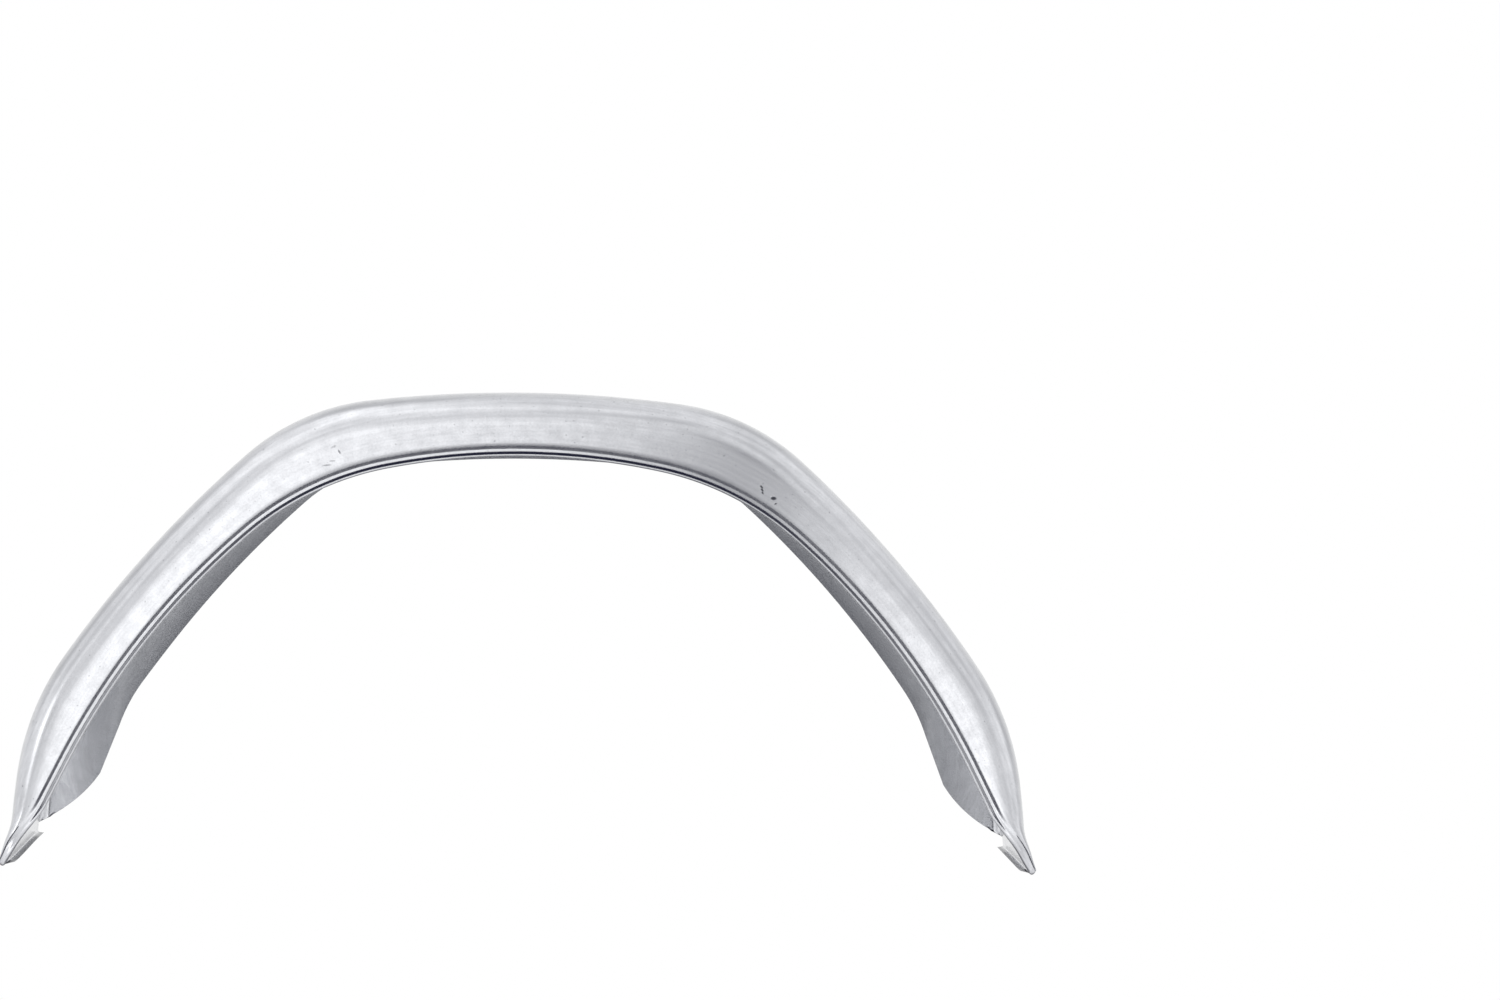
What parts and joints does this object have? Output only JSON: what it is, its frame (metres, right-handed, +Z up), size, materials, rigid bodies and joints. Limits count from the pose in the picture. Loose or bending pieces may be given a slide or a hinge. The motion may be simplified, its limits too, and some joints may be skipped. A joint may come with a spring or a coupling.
{
  "type": "trailer mudguard",
  "caption": "Arched trailer mudguard pressed from one galvanised steel sheet, with a soft outer shoulder, beaded rim and flat chassis-side wall.",
  "frame": {"origin": "on the ground plane, under the middle of the guard, midway across its width", "axes": "+X along the guard from one pointed end to the other, +Y across it towards the flat chassis-side wall, +Z up"},
  "size_m": [0.7376, 0.2, 0.344],
  "materials": {
    "galvanised_sheet": "galvanised"
  },
  "bodies": {
    "root": {"mudguard": "galvanised_sheet"}
  },
  "joints": []
}
